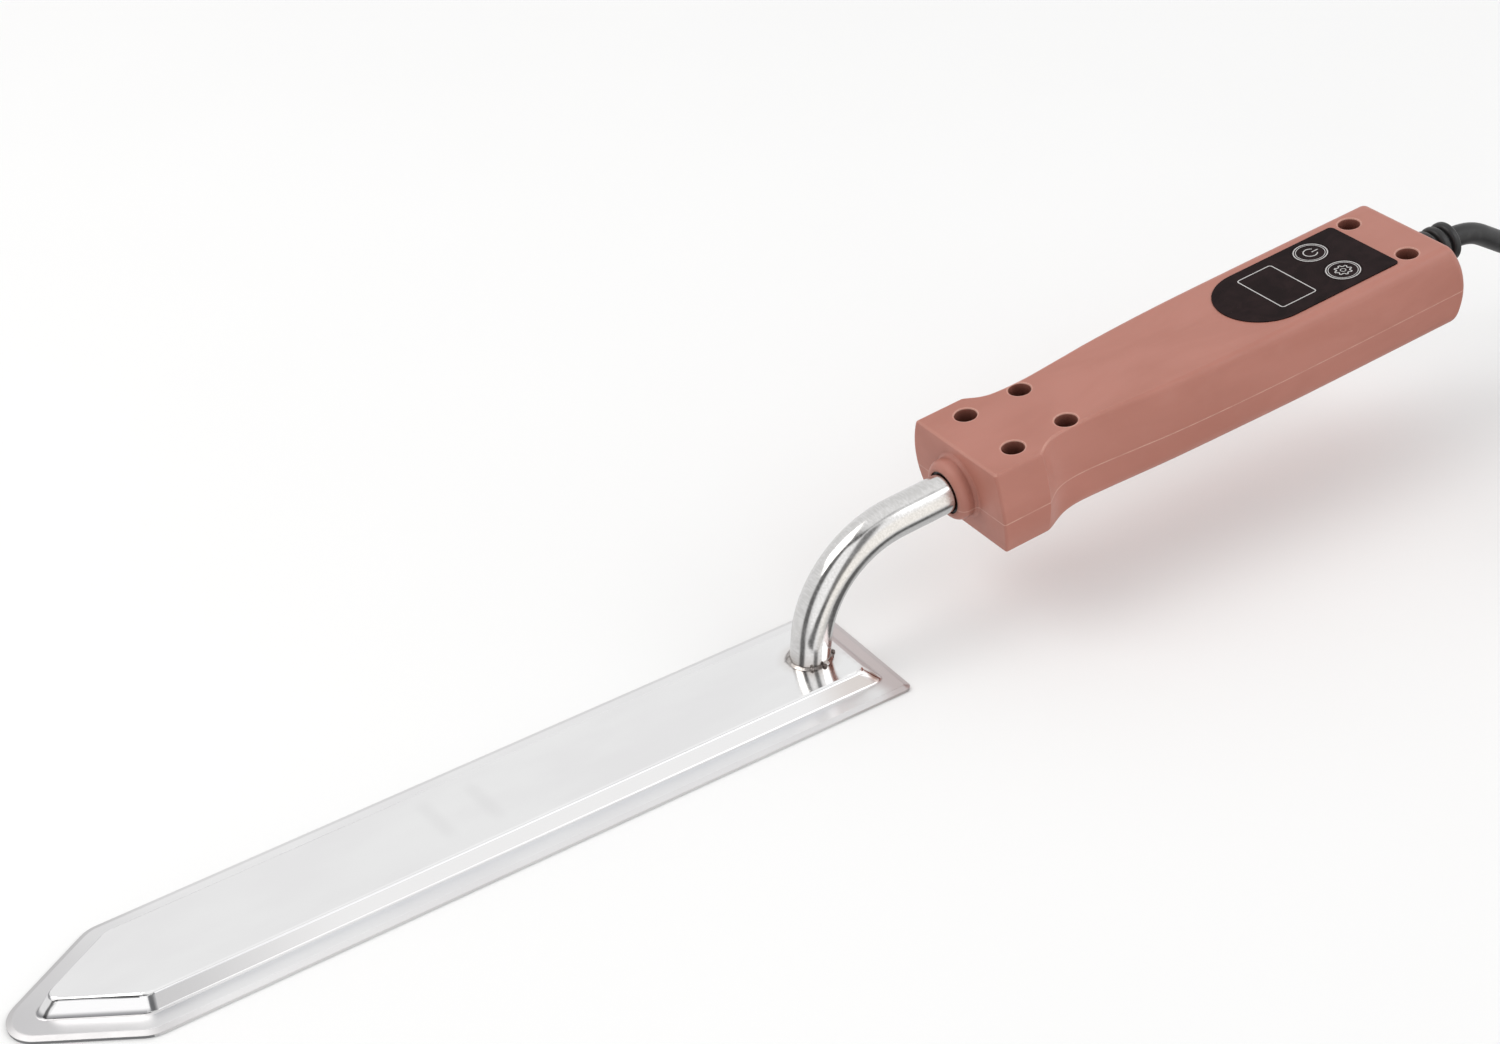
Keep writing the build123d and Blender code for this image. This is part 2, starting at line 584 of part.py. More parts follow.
def make_screws(places, head_z, head_radius, tip, core):
    """Pan-head self-tapping screws that point down, with a cross slot in each head."""
    screws = []
    for x, y in places:
        head = rod(x, y, head_z, head_z + 1.9, head_radius)
        head = fillet(head.edges().group_by(Axis.Z)[-1], 0.8)
        slot = block(x - 1.6, x + 1.6, y - 0.35, y + 0.35, head_z + 0.8, head_z + 3)
        slot += block(x - 0.35, x + 0.35, y - 1.6, y + 1.6, head_z + 0.8, head_z + 3)
        shank = rod(x, y, tip + 1.2, head_z, core)
        point = Pos(x, y, tip + 0.6) * Cone(0.3, core, 1.2)
        screws.append(head + shank + point - slot)
    return solids(*screws)


def make_board_screws():
    """Short screws driven up through the board into the upper shell's posts."""
    screws = []
    for x, y in BOARD_SCREWS:
        head = rod(x, y, BOARD_BOTTOM - 1.5, BOARD_BOTTOM, 2.2)
        head = fillet(head.edges().group_by(Axis.Z)[0], 0.6)
        slot = block(x - 1.3, x + 1.3, y - 0.3, y + 0.3, BOARD_BOTTOM - 2, BOARD_BOTTOM - 0.8)
        screws.append(head + rod(x, y, BOARD_BOTTOM, -4.5, 0.95) - slot)
    return solids(*screws)


def make_tube_saddle():
    """Formed plate under the tube, held down by the four front screws, with an earth tab."""
    top = PARTING
    plate = block(-5.5, 25.5, -16, 16, top - SADDLE_SHEET, top)
    plate += rod_x(-5.5, 25.5, 0, TUBE_AXIS, TUBE_RADIUS + SADDLE_SHEET) & block(-6, 26, -9, 9, -22, top)
    plate += block(25, 33, 5, 11, top - SADDLE_SHEET, top)
    plate -= rod_x(-7, 34, 0, TUBE_AXIS, TUBE_RADIUS + 0.02)
    for x, y in FRONT_SCREWS:
        plate -= rod(x, y, -25, -15, SCREW_HOLE)
    return plate & block(-5.5, 33, -13.9, 13.9, -25, top)


def make_heat_sleeve():
    sleeve = rod_x(SLEEVE_FRONT, SLEEVE_REAR, 0, TUBE_AXIS, TUBE_HOLE - 0.05)
    return sleeve - rod_x(SLEEVE_FRONT - 1, SLEEVE_REAR + 1, 0, TUBE_AXIS, TUBE_RADIUS + 0.03)


# ---- control board and panel, in the handle's frame ------------------------------------------
def key_places():
    return [(KEY_X, PANEL_Y - KEY_PITCH / 2), (KEY_X, PANEL_Y + KEY_PITCH / 2)]


def make_control_board():
    board = block(BOARD_FRONT, BOARD_REAR, -BOARD_HALF, BOARD_HALF, BOARD_BOTTOM, BOARD_TOP)
    board = fillet(board.edges().filter_by(Axis.Z), 1.5)
    for x, y in BOARD_SCREWS:
        board -= rod(x, y, BOARD_BOTTOM - 1, BOARD_TOP + 1, 1.3)
    return board


def make_display_module():
    """Seven-segment block; three digits are shallow recesses in its face."""
    dx, dy = (size / 2 - 0.2 for size in DISPLAY_SIZE)
    x0, x1, top = DISPLAY_X - dx, DISPLAY_X + dx, -2.1
    body = block(x0, x1, PANEL_Y - dy, PANEL_Y + dy, BOARD_TOP, top)
    long_bar, short_bar = (4.2, 0.9), (0.9, 3.2)
    for digit in (-1, 0, 1):
        y = PANEL_Y + digit * 7.2
        for along in (-1, 0, 1):
            body -= Pos(DISPLAY_X + along * 5.0, y, top) * Box(short_bar[0], short_bar[1], 0.3)
        for along in (-2.5, 2.5):
            for across in (-2.2, 2.2):
                body -= Pos(DISPLAY_X + along, y + across, top) * Box(long_bar[0], long_bar[1], 0.3)
    return body


def make_display_window():
    dx, dy = (size / 2 for size in DISPLAY_SIZE)
    return block(DISPLAY_X - dx, DISPLAY_X + dx, PANEL_Y - dy, PANEL_Y + dy, -1.6, 0)


def make_switch_housings():
    parts = []
    for x, y in key_places():
        dx, dy, dz = SWITCH_SIZE
        body = block(x - dx / 2, x + dx / 2, y - dy / 2, y + dy / 2, BOARD_TOP, BOARD_TOP + dz)
        body = chamfer(body.edges().group_by(Axis.Z)[-1], 0.4)
        parts.append(body - rod(x, y, BOARD_TOP + 0.4, 0, PLUNGER_RADIUS + 0.06))
    return solids(*parts)


def make_plunger(place):
    x, y = place
    stem = rod(x, y, BOARD_TOP + 1.2, 0, PLUNGER_RADIUS)
    return chamfer(stem.edges().group_by(Axis.Z)[0], 0.3)


def make_key(place):
    """Round area of the panel's skin that gives way under the thumb."""
    x, y = place
    disc = rod(x, y, 0, LABEL_THICK, KEY_RADIUS)
    return fillet(disc.edges().group_by(Axis.Z)[-1], 0.1)


def make_control_label():
    corner = 1.6
    half, nose, rear = LABEL_HALF, LABEL_NOSE_X, LABEL_REAR
    face = make_face([Polyline((nose, -half), (rear, -half), (rear, half), (nose, half)),
                      ThreePointArc((nose, half), (nose - half, 0), (nose, -half))])
    face = fillet(face.vertices().group_by(Axis.X)[-1], corner)
    label = extrude(face, LABEL_THICK)
    for x, y in key_places():
        label -= rod(x, y, -1, 1, KEY_HOLE)
    return label


def make_terminal_block(span, poles, pitch, height):
    """Screw terminal block under the board, wire mouths towards the nearer end of the handle."""
    x0, x1 = span
    half = poles * pitch / 2
    body = block(x0, x1, -half, half, BOARD_BOTTOM - height, BOARD_BOTTOM)
    for i in range(poles):
        y = (i - (poles - 1) / 2) * pitch
        body -= rod((x0 + x1) / 2, y, BOARD_BOTTOM - height - 1, BOARD_BOTTOM - height + 2.4, 1.7)
    return body


def make_terminal_screws():
    screws = []
    for span, poles, pitch, height in TERMINAL_BLOCKS:
        x = sum(span) / 2
        for i in range(poles):
            y = (i - (poles - 1) / 2) * pitch
            z = BOARD_BOTTOM - height + 0.9
            screw = rod(x, y, z, z + 1.5, 1.6)
            screws.append(screw - block(x - 2, x + 2, y - 0.25, y + 0.25, z - 1, z + 0.6))
    return solids(*screws)


def make_triac():
    """Power switch lying on the board, with its metal tab and three legs."""
    top = BOARD_BOTTOM
    body = block(88, 98, -13, -3.5, top - 4.5, top - 1.3)
    tab = block(98, 103, -13, -3.5, top - 1.3, top) + block(88, 98, -13, -3.5, top - 1.3, top)
    tab -= rod(100.5, -8.25, top - 2, top + 1, 1.8)
    legs = [block(84, 88, y - 0.4, y + 0.4, top - 3.2, top - 2.6) for y in (-10.8, -8.25, -5.7)]
    legs += [block(84, 84.6, y - 0.4, y + 0.4, top - 3.2, top) for y in (-10.8, -8.25, -5.7)]
    return body + tab + legs


def make_film_capacitor():
    body = block(82, 95, 4, 10, BOARD_BOTTOM - BULK_DEPTH, BOARD_BOTTOM - 0.3)
    return fillet(body.edges().filter_by(Axis.Z), 0.8)


def make_electrolytic_capacitors():
    cans = []
    for x, y in ((104, 7.5), (122, -8.5)):
        can = rod(x, y, BOARD_BOTTOM - BULK_DEPTH, BOARD_BOTTOM, 4.0)
        can = fillet(can.edges().group_by(Axis.Z)[0], 0.5)
        groove = Pos(x, y, BOARD_BOTTOM - 2) * Torus(4.1, 0.4)
        cans.append(can - groove)
    return solids(*cans)


def make_bridge_rectifier():
    body = block(107, 115, -12, -5.5, BOARD_BOTTOM - 3.2, BOARD_BOTTOM)
    return chamfer(body.edges().group_by(Axis.Z)[0], 0.5)


def make_microcontroller():
    chip = block(112, 122, 4.5, 8.5, BOARD_BOTTOM - 1.6, BOARD_BOTTOM - 0.1)
    for i in range(8):
        x = 112.55 + i * 1.27
        for y0, y1 in ((3.5, 4.6), (8.4, 9.5)):
            chip += block(x - 0.2, x + 0.2, y0, y1, BOARD_BOTTOM - 0.3, BOARD_BOTTOM)
    return chip


def make_fuse():
    """Glass cartridge fuse with end caps in its clips."""
    z = BOARD_BOTTOM - 3.4
    return rod_x(104, 124, 0, z, 2.4) + rod_x(103, 108, 0, z, 2.6) + rod_x(120, 125, 0, z, 2.6)


def make_fuse_clips():
    clips = []
    for x0 in (104, 121):
        cradle = block(x0, x0 + 3, -3.2, 3.2, BOARD_BOTTOM - 4.6, BOARD_BOTTOM)
        clips.append(cradle - rod_x(x0 - 1, x0 + 4, 0, BOARD_BOTTOM - 3.4, 2.62))
    return solids(*clips)


# ---- cord, in the handle's frame until it leaves the relief ------------------------------------
def make_cord_clamp():
    bar = block(CLAMP_X - 2.4, CLAMP_X + 2.4, -8.2, 8.2, CLAMP_POST_TOP, CLAMP_POST_TOP + CLAMP_HEIGHT)
    bar = chamfer(bar.edges().group_by(Axis.Z)[-1], 0.8)
    bar -= rod_x(CLAMP_X - 4, CLAMP_X + 4, 0, TUBE_AXIS, CORD_RADIUS + 0.02)
    for side in (-1, 1):
        bar -= rod(CLAMP_X, side * CLAMP_SCREW_Y, -20, 0, 1.1)
    return bar


def make_clamp_screws():
    places = [(CLAMP_X, side * CLAMP_SCREW_Y) for side in (-1, 1)]
    return make_screws(places, CLAMP_POST_TOP + CLAMP_HEIGHT, 2.1, CLAMP_POST_TOP - 6.8, 0.9)


def make_strain_relief():
    """Ribbed rubber sleeve, flanged on the inside of the rear wall."""
    relief = rod_x(RELIEF_START, RELIEF_END - 1, 0, TUBE_AXIS, CORD_HOLE - 0.1)
    thick, radius = RELIEF_FLANGE
    relief += rod_x(RELIEF_START, RELIEF_START + thick, 0, TUBE_AXIS, radius)
    for i in range(RELIEF_RIBS):
        x = RELIEF_END - 2.0 - i * RIB_PITCH
        rib = rod_x(x - 1.6, x + 1.6, 0, TUBE_AXIS, RELIEF_RADIUS)
        relief += fillet(rib.edges(), 1.3)
    relief += rod_x(HANDLE_REAR + 0.3, RELIEF_END - 2, 0, TUBE_AXIS, 5.2)
    return relief - rod_x(RELIEF_START - 1, RELIEF_END + 1, 0, TUBE_AXIS, CORD_RADIUS + 0.05)


def coil_arcs():
    """Flat coil of half circles, clockwise from its far side, each wider than the last."""
    x, y = COIL_X, CORD_ARRIVAL_Y
    arcs = []
    for i in range(COIL_HALF_TURNS):
        down = i % 2 == 0
        radius = COIL_START_RADIUS + i * COIL_PITCH / 2 + (0.5 if i else -0.5)
        end_y = y - 2 * radius if down else y + 2 * radius
        side = (x + radius if down else x - radius, (y + end_y) / 2, CORD_RADIUS)
        arcs.append(ThreePointArc((x, y, CORD_RADIUS), side, (x, end_y, CORD_RADIUS)))
        y = end_y
    return arcs


def cord_path():
    """Straight through the relief, down to the floor, round the coil and up into the plug."""
    x = COIL_X
    before, height = CROSSING
    arrive = [from_handle(CORD_INNER_END, 0, TUBE_AXIS), from_handle(RELIEF_END + 8, 0, TUBE_AXIS),
              (x - before, CORD_ARRIVAL_Y, height), (x - 8, CORD_ARRIVAL_Y, CORD_RADIUS),
              (x, CORD_ARRIVAL_Y, CORD_RADIUS)]
    arcs = coil_arcs()
    leave = arcs[-1] @ 1
    depart = [tuple(leave), (x - DEPART_RUN, leave.Y, CORD_RADIUS), (PLUG_TAIL_X + 7, leave.Y, PLUG_RADIUS),
              (PLUG_TAIL_X - 7, leave.Y, PLUG_RADIUS)]
    runs = bent_path(arrive, [21, 30, 30]).edges() + arcs + bent_path(depart, [25, 25]).edges()
    return Wire(runs)


def make_power_cord():
    return pipe(cord_path(), CORD_RADIUS)


def make_cord_cores():
    """Live and neutral cores to the mains block, and the earth core to the tube's saddle."""
    x0 = CORD_INNER_END - 0.05
    wires = []
    for side in (-1, 1):
        points = [(x0, side * 1.6, -12.3), (144.8, side * 1.6, -12.3), (143.2, side * 4, -15),
                  (MAINS_BLOCK[1] + 0.05, side * 4, -15)]
        wires.append(pipe(bent_path([from_handle(*p) for p in points], [1.1, 1.1]), CORE_RADIUS))
    points = [(x0, 0, -15.4), (144.6, 0, -15.4), (143.0, 5.0, -23.9), (60.0, 12.0, -23.9),
              (44.0, 8.0, -18.4), (33.05, 8.0, -18.4)]
    wires.append(pipe(bent_path([from_handle(*p) for p in points], [1.5, 3, 6, 6]), CORE_RADIUS))
    return solids(*wires)


def make_plug_body():
    """Round moulded plug, with a grip waist and a ribbed tail, its axis along x."""
    r = PLUG_RADIUS
    face, tail = PLUG_FACE_X, PLUG_TAIL_X
    profile = make_face([
        Polyline((tail, 0), (face, 0), (face, r - 1.5), (face + 1.5, r), (face + 13, r)),
        Spline((face + 13, r), (face + 22, r - 4.5), (face + 34, r - 6.5), tangents=((1, 0), (1, -0.1))),
        Polyline((face + 34, r - 6.5), (tail - 16, 5.6), (tail, 4.8), (tail, 0))])
    body = revolve(profile, Axis.X)
    for i in range(3):
        body += rod_x(tail - 13 + i * 4.4, tail - 10.6 + i * 4.4, 0, 0, BOOT_RADIUS)
    body -= rod_x(tail - 8, tail + 1, 0, 0, CORD_RADIUS + 0.02)
    for side in (-1, 1):
        z0, z1 = sorted((side * (r - EARTH_GROOVE), side * (r + 3)))
        body -= block(face - 1, face + 12, -3.2, 3.2, z0, z1)
        body -= rod_x(face - 1, face + PIN_ROOT, side * PIN_SPACING / 2, 0, ROOT_RADIUS)
    return Pos(0, PLUG_Y, PLUG_RADIUS) * body


def make_plug_pins():
    """Round pins whose thinner roots are moulded into the plug."""
    pins = []
    for side in (-1, 1):
        y = PLUG_Y + side * PIN_SPACING / 2
        pin = rod_x(PLUG_FACE_X - PIN_LENGTH, PLUG_FACE_X, y, PLUG_RADIUS, PIN_RADIUS)
        pin = fillet(pin.edges().group_by(Axis.X)[0], PIN_TIP_ROUND)
        pins.append(pin + rod_x(PLUG_FACE_X, PLUG_FACE_X + PIN_ROOT, y, PLUG_RADIUS, ROOT_RADIUS))
    return solids(*pins)


def make_earth_contacts():
    """Spring strips in the plug's two side grooves."""
    strips = []
    for side in (-1, 1):
        z = PLUG_RADIUS + side * (PLUG_RADIUS - 0.85)
        strips.append(Pos(PLUG_FACE_X + 6, PLUG_Y, z) * Box(10.5, 4.4, 0.6))
    return solids(*strips)


def make_all():
    outer = handle_body()
    knife_nodes = {
        "blade_bottom_skin": make_bottom_skin(),
        "blade_top_skin": make_top_skin(),
        "mica_lower_sheet": make_mica_sheet(SHEET),
        "mica_core": make_mica_core(),
        "heating_ribbon": make_heating_ribbon(),
        "mica_upper_sheet": make_mica_upper(),
        "pressure_pad": make_pressure_pad(),
        "heater_terminals": make_heater_terminals(),
        "temperature_sensor": make_temperature_sensor(),
        "heater_leads": make_heater_leads(),
        "sensor_leads": make_sensor_leads(),
        "gooseneck_tube": make_gooseneck_tube(),
        "tube_weld": make_tube_weld(),
        "power_cord": make_power_cord(),
        "cord_cores": make_cord_cores(),
        "plug_body": make_plug_body(),
        "plug_pins": make_plug_pins(),
        "earth_contacts": make_earth_contacts(),
    }
    near, far = key_places()
    handle_nodes = {
        "upper_shell": make_upper_shell(outer),
        "lower_shell": make_lower_shell(outer),
        "front_screws": make_screws(FRONT_SCREWS, WELL_BOTTOM, 2.9, SCREW_TIP, SCREW_CORE),
        "rear_screws": make_screws(REAR_SCREWS, WELL_BOTTOM, 2.9, SCREW_TIP, SCREW_CORE),
        "tube_saddle": make_tube_saddle(),
        "heat_sleeve": make_heat_sleeve(),
        "control_board": make_control_board(),
        "board_screws": make_board_screws(),
        "display_module": make_display_module(),
        "display_window": make_display_window(),
        "switch_housings": make_switch_housings(),
        "set_plunger": make_plunger(near),
        "power_plunger": make_plunger(far),
        "set_key": make_key(near),
        "power_key": make_key(far),
        "control_label": make_control_label(),
        "heater_terminal_block": make_terminal_block(*TERMINAL_BLOCKS[0]),
        "mains_terminal_block": make_terminal_block(*TERMINAL_BLOCKS[1]),
        "terminal_screws": make_terminal_screws(),
        "triac": make_triac(),
        "film_capacitor": make_film_capacitor(),
        "electrolytic_capacitors": make_electrolytic_capacitors(),
        "bridge_rectifier": make_bridge_rectifier(),
        "microcontroller": make_microcontroller(),
        "fuse": make_fuse(),
        "fuse_clips": make_fuse_clips(),
        "cord_clamp": make_cord_clamp(),
        "clamp_screws": make_clamp_screws(),
        "strain_relief": make_strain_relief(),
    }
    return knife_nodes | {name: HANDLE * shape for name, shape in handle_nodes.items()}


if __name__ == "__main__":
    os.makedirs("parts", exist_ok=True)
    for node, shape in make_all().items():
        save(node, shape)
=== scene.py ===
import json
import math

import bmesh
import bpy
from mathutils import Matrix, Vector


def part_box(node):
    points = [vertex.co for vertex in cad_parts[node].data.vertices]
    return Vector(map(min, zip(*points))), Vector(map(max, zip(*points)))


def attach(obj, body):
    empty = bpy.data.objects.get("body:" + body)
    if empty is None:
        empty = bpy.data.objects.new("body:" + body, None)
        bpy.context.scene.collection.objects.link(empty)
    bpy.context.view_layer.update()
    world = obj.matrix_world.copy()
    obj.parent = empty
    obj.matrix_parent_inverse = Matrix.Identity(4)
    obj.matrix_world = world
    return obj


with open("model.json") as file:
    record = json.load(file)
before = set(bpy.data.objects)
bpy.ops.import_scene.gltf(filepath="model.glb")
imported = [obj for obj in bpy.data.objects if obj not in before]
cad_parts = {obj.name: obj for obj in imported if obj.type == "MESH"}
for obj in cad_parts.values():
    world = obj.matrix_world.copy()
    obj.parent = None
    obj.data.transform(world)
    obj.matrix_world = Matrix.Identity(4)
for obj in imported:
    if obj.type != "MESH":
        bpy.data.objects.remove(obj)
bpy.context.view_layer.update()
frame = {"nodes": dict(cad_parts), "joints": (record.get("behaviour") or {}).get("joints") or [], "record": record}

# Electric uncapping knife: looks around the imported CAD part. Metres, in the part's own frame.

MM = 0.001
NODES = frame["nodes"]


# ---- material graphs -----------------------------------------------------------------------
class Graph:
    """A node tree with short ways to add and join nodes. Textures work in millimetres."""

    def __init__(self, tree):
        self.tree = tree
        tree.nodes.clear()
        self.place = None

    def node(self, kind, **settings):
        made = self.tree.nodes.new("ShaderNode" + kind)
        for key, value in settings.items():
            setattr(made, key, value)
        return made

    def feed(self, socket, value):
        if isinstance(value, bpy.types.NodeSocket):
            self.tree.links.new(value, socket)
        elif value is not None:
            socket.default_value = value

    def position(self):
        """The point on the piece, in millimetres of the part's frame."""
        if self.place is None:
            source = self.node("TexCoord").outputs["Object"]
            scaled = self.node("VectorMath", operation="SCALE")
            self.feed(scaled.inputs[0], source)
            self.feed(scaled.inputs["Scale"], 1 / MM)
            self.place = scaled.outputs[0]
        return self.place

    def stretched(self, scale):
        made = self.node("VectorMath", operation="MULTIPLY")
        self.feed(made.inputs[0], self.position())
        self.feed(made.inputs[1], scale)
        return made.outputs[0]

    def noise(self, scale, detail=4.0, roughness=0.55, distortion=0.0):
        """Noise value; scale is cells per millimetre along each axis."""
        made = self.node("TexNoise")
        self.feed(made.inputs["Vector"], self.stretched(scale))
        self.feed(made.inputs["Scale"], 1.0)
        self.feed(made.inputs["Detail"], detail)
        self.feed(made.inputs["Roughness"], roughness)
        self.feed(made.inputs["Distortion"], distortion)
        return made.outputs["Fac"]

    def math(self, operation, a, b=None):
        made = self.node("Math", operation=operation)
        self.feed(made.inputs[0], a)
        self.feed(made.inputs[1], b)
        return made.outputs[0]

    def between(self, value, low, high, out_low=0.0, out_high=1.0):
        """Value from low to high, smoothly taken to out_low to out_high."""
        made = self.node("MapRange", interpolation_type="SMOOTHSTEP")
        for index, item in enumerate((value, low, high, out_low, out_high)):
            self.feed(made.inputs[index], item)
        return made.outputs[0]

    def colour_mix(self, factor, a, b):
        made = self.node("Mix", data_type="RGBA")
        self.feed(made.inputs["Factor"], factor)
        self.feed(made.inputs[6], a)
        self.feed(made.inputs[7], b)
        return made.outputs[2]

    def offset(self, point):
        """The place on the piece, measured from a point, in millimetres."""
        made = self.node("VectorMath", operation="SUBTRACT")
        self.feed(made.inputs[0], self.position())
        self.feed(made.inputs[1], point)
        return made.outputs[0]

    def axis(self, vector, index):
        made = self.node("SeparateXYZ")
        self.feed(made.inputs[0], vector)
        return made.outputs[index]

    def dot(self, a, b):
        made = self.node("VectorMath", operation="DOT_PRODUCT")
        self.feed(made.inputs[0], a)
        self.feed(made.inputs[1], b)
        return made.outputs["Value"]

    def distance(self, a, b):
        made = self.node("VectorMath", operation="DISTANCE")
        self.feed(made.inputs[0], a)
        self.feed(made.inputs[1], b)
        return made.outputs["Value"]

    def edge_mask(self, radius, low=0.02, high=0.25):
        """1 along the piece's sharp outer and inner edges, 0 on its faces."""
        made = self.node("Bevel", samples=4)
        self.feed(made.inputs["Radius"], radius * MM)
        turn = self.dot(made.outputs["Normal"], self.node("NewGeometry").outputs["Normal"])
        return self.between(self.math("SUBTRACT", 1.0, turn), low, high)

    def openness(self, reach):
        """1 in the open, falling to 0 deep in holes and corners."""
        made = self.node("AmbientOcclusion", samples=4)
        self.feed(made.inputs["Distance"], reach * MM)
        return made.outputs["AO"]

    def bump(self, height, depth, below=None):
        """Normal for a height of 0 to 1 that stands depth millimetres deep."""
        made = self.node("Bump")
        self.feed(made.inputs["Strength"], 1.0)
        self.feed(made.inputs["Distance"], depth * MM)
        self.feed(made.inputs["Height"], height)
        self.feed(made.inputs["Normal"], below)
        return made.outputs["Normal"]


def rgb(red, green, blue):
    return (red, green, blue, 1.0)


def shaded(name, build, **settings):
    """Material whose graph the function build fills: it returns the Principled inputs."""
    material = bpy.data.materials.new(name)
    material.use_nodes = True
    graph = Graph(material.node_tree)
    surface = graph.node("BsdfPrincipled")
    output = graph.node("OutputMaterial")
    graph.feed(output.inputs["Surface"], surface.outputs[0])
    for key, value in build(graph, **settings).items():
        graph.feed(surface.inputs[key], value)
    return material


# ---- metals --------------------------------------------------------------------------------
FLANGE_TOP, PANEL_TOP = 1.4, 6.0
SMEARS = [(-121.2, 1.4, PANEL_TOP), (-106.8, 0.4, PANEL_TOP)]
SMEAR_ACROSS = (1.0, 0.06, 0.0)
SMEAR_ALONG = (-0.06, 1.0, 0.0)
HEEL_BURN = (12.8, -16.9, 4.2)
TUBE_FOOT = (0.95, 0.0, PANEL_TOP)


def sheet_steel(graph):
    """Polished stainless sheet: long rolling marks, faint hand marks, a ground edge and weld tint."""
    place = graph.position()
    x, height = graph.axis(place, 0), graph.axis(place, 2)
    rolling = graph.noise((0.012, 2.2, 2.2), detail=6)
    marks = graph.noise((0.045, 0.07, 0.07), detail=5, distortion=0.6)
    fine = graph.noise((3.0, 3.0, 3.0), detail=2)
    tone = graph.between(graph.noise((0.02, 0.05, 0.05), detail=3), 0.3, 0.7)
    colour = graph.colour_mix(tone, rgb(0.90, 0.895, 0.90), rgb(0.94, 0.94, 0.94))
    # two faint wiped smears on the panel
    for smear in SMEARS:
        across = graph.math("ABSOLUTE", graph.dot(graph.offset(smear), SMEAR_ACROSS))
        along = graph.math("ABSOLUTE", graph.dot(graph.offset(smear), SMEAR_ALONG))
        length = graph.between(along, 5.0, 13.0, 1.0, 0.0)
        spot = graph.math("MULTIPLY", graph.between(across, 0.3, 3.6, 1.0, 0.0), length)
        colour = graph.colour_mix(graph.math("MULTIPLY", spot, 0.28), colour, rgb(0.78, 0.775, 0.78))
    # the flange darkens towards the point
    low = graph.math("LESS_THAN", height, FLANGE_TOP + 0.25)
    point = graph.math("MULTIPLY", low, graph.between(x, -252.0, -185.0, 0.85, 0.06))
    colour = graph.colour_mix(point, colour, rgb(0.58, 0.57, 0.58))
    # painted shade on the pressed walls along the sides: grey near the point, growing lighter towards the heel
    facing = graph.node("NewGeometry").outputs["True Normal"]
    sideways = graph.between(graph.math("ABSOLUTE", graph.axis(facing, 1)), 0.80, 0.86)
    painted_wall_shade = graph.math("MULTIPLY", sideways, graph.between(graph.axis(facing, 2), 0.15, 0.40))
    along = graph.between(x, -222.0, -150.0)
    grey = graph.colour_mix(along, rgb(0.50, 0.505, 0.53), rgb(0.728, 0.742, 0.775))
    colour = graph.colour_mix(painted_wall_shade, colour, grey)
    # the two walls of the point get painted shade: a little darker all over, with painted dark bands along their
    # foot and under their rim
    ahead = graph.between(graph.axis(facing, 0), -0.36, -0.16, 1.0, 0.0)
    colour = graph.colour_mix(ahead, colour, rgb(0.86, 0.855, 0.86))
    foot_shade = graph.between(height, FLANGE_TOP + 0.4, FLANGE_TOP + 1.5, 0.85, 0.0)
    painted_rim_shade = graph.between(height, PANEL_TOP - 0.65, PANEL_TOP - 0.35, 0.0, 0.8)
    shade = graph.math("MULTIPLY", ahead, graph.math("MAXIMUM", foot_shade, painted_rim_shade))
    colour = graph.colour_mix(shade, colour, rgb(0.20, 0.20, 0.21))
    # straw to brown tint where the neck's welding heated the sheet, and along the heel
    foot = graph.distance(place, TUBE_FOOT)
    ragged = graph.math("ADD", foot, graph.math("MULTIPLY", marks, 5.0))
    straw = graph.between(ragged, 8.6, 13.0, 0.4, 0.0)
    colour = graph.colour_mix(straw, colour, rgb(0.66, 0.60, 0.565))
    scorch = graph.between(ragged, 9.1, 10.0, 0.7, 0.0)
    colour = graph.colour_mix(scorch, colour, rgb(0.12, 0.105, 0.10))
    heel = graph.between(graph.math("ADD", x, graph.math("MULTIPLY", marks, 9.0)), 12.5, 18.5, 0.0, 0.8)
    colour = graph.colour_mix(heel, colour, rgb(0.57, 0.485, 0.475))
    side_tint = graph.math("MULTIPLY", sideways, graph.between(x, -12.0, 6.0, 0.0, 0.75))
    colour = graph.colour_mix(side_tint, colour, rgb(0.56, 0.52, 0.51))
    corner = graph.distance(place, HEEL_BURN)
    burn = graph.between(graph.math("ADD", corner, graph.math("MULTIPLY", marks, 3.0)), 3.0, 4.8, 0.8, 0.0)
    colour = graph.colour_mix(burn, colour, rgb(0.24, 0.12, 0.08))
    # the ground cutting edge is the only low surface with this slight slope
    slope = graph.axis(facing, 2)
    sloped = graph.math("MULTIPLY", graph.math("GREATER_THAN", slope, 0.86),
                        graph.math("LESS_THAN", slope, 0.99))
    ground = graph.math("MULTIPLY", sloped, low)
    stoned = graph.math("MULTIPLY", ground, graph.between(x, -225.0, -195.0, 0.95, 0.35))
    colour = graph.colour_mix(stoned, colour, rgb(0.58, 0.57, 0.575))
    rough = graph.between(marks, 0.35, 0.68, 0.07, 0.13)
    rough = graph.math("ADD", rough, graph.between(rolling, 0.3, 0.7, 0.0, 0.04))
    rough = graph.math("ADD", rough, graph.math("MULTIPLY", ground, 0.10))
    rough = graph.math("ADD", rough, graph.math("MULTIPLY", low, 0.20))
    rough = graph.math("ADD", rough, graph.math("MULTIPLY", graph.edge_mask(0.35), 0.12))
    waves = graph.bump(graph.noise((0.03, 0.045, 0.045), detail=1), 0.045)
    lines = graph.bump(rolling, 0.0014, waves)
    normal = graph.bump(fine, 0.0006, lines)
    return {"Base Color": colour, "Metallic": 1.0, "Roughness": rough, "Normal": normal}


